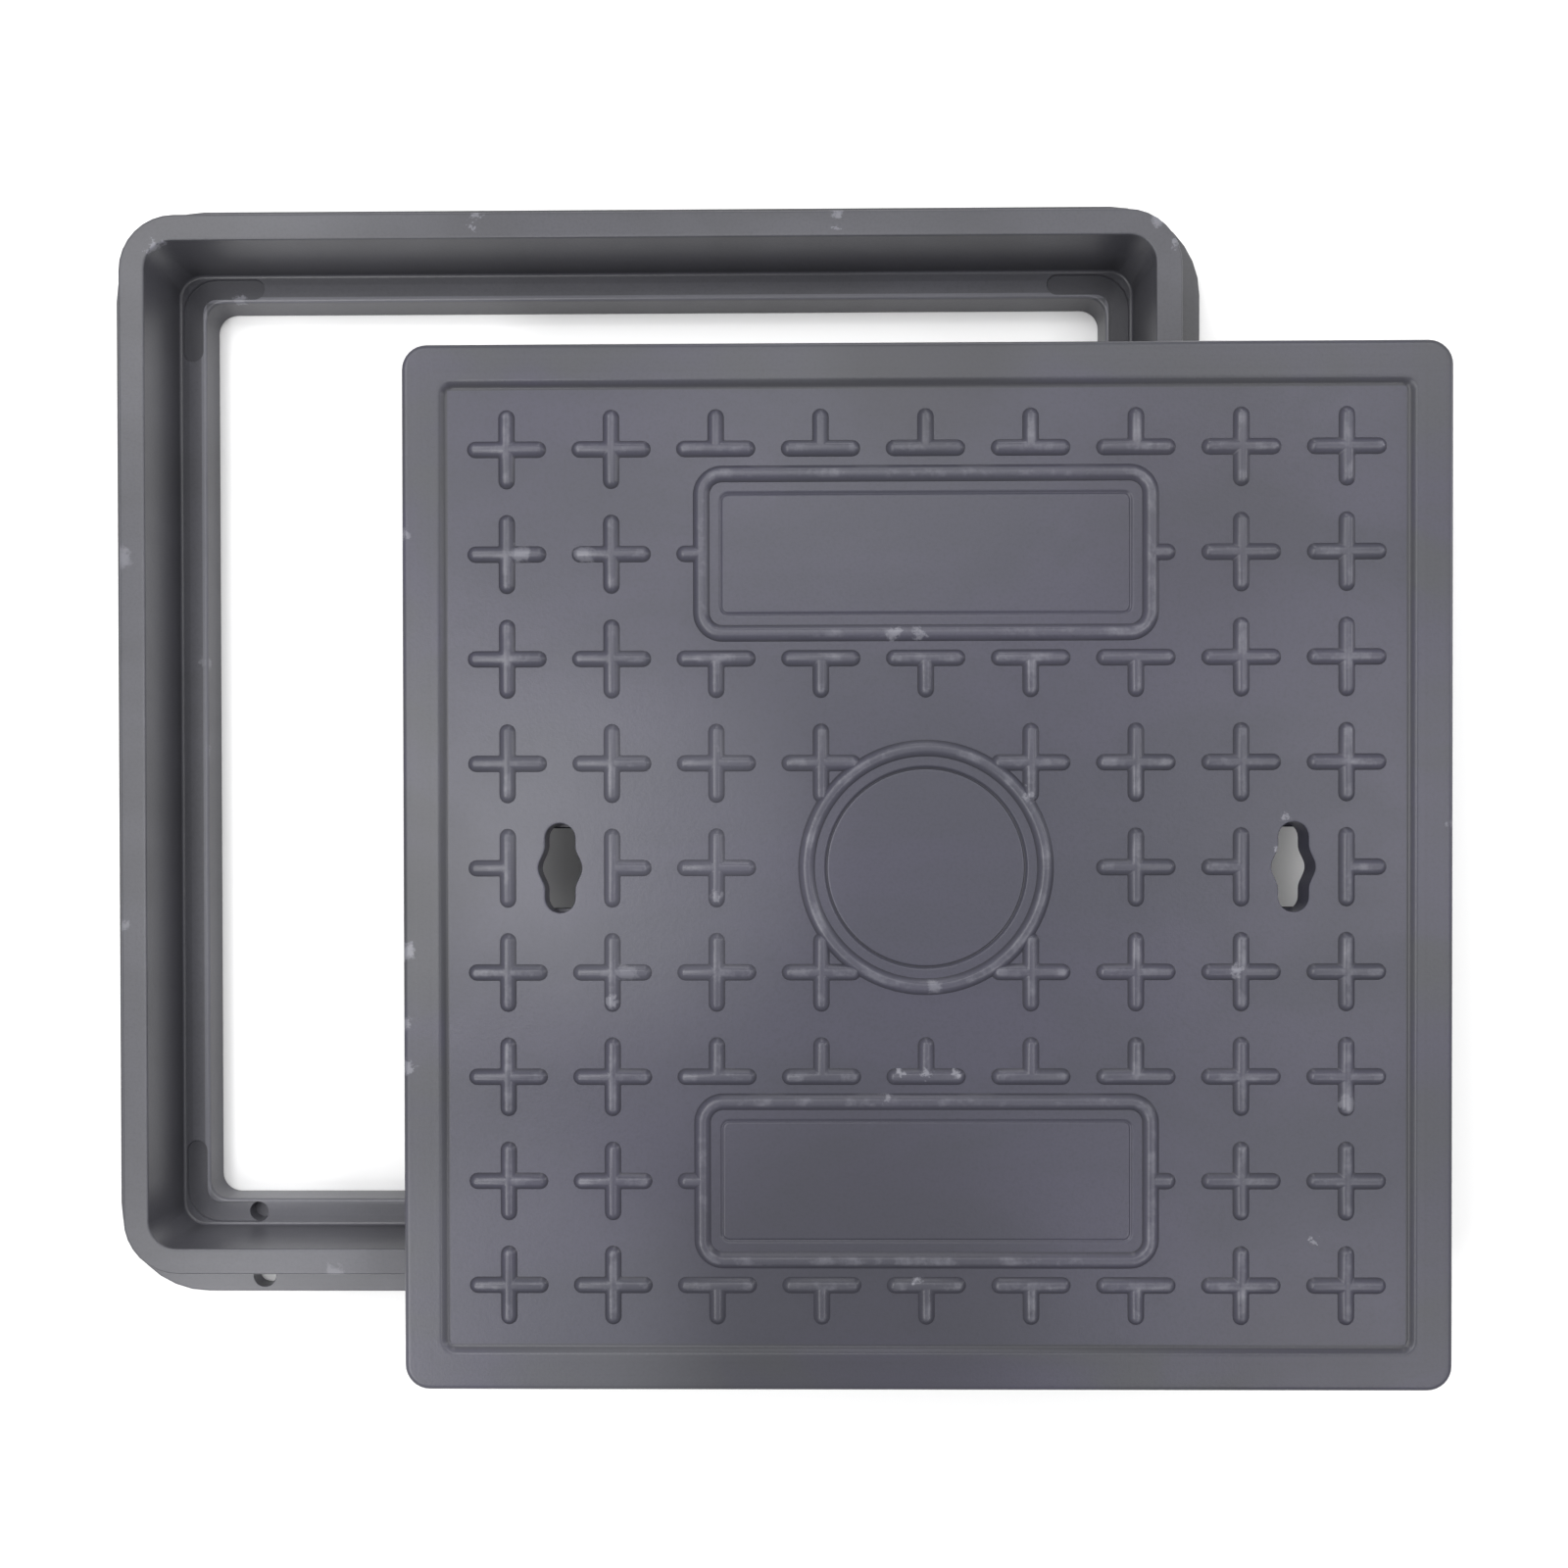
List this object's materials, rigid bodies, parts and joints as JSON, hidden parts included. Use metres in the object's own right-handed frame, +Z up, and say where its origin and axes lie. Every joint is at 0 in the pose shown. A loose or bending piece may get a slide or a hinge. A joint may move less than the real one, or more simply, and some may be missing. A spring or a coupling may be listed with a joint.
{
  "type": "inspection cover",
  "caption": "Square moulded resin inspection cover with a raised cross pattern and key slots, lifted out and lying across its open flanged frame.",
  "frame": {"origin": "on the ground, under the middle of the set's bounding box", "axes": "+X to the right and +Y to the back when seen from above as in the picture, +Z up"},
  "size_m": [0.6776, 0.6044, 0.1],
  "materials": {
    "frame_resin": "satin moulded glass-filled resin, slate grey, with light scuffs and mould marks",
    "cover_resin": "satin moulded glass-filled resin, slate grey, with faint flow marks and polished tips on the pattern"
  },
  "bodies": {
    "root": {"frame": "frame_resin", "cover": "cover_resin"}
  },
  "joints": []
}
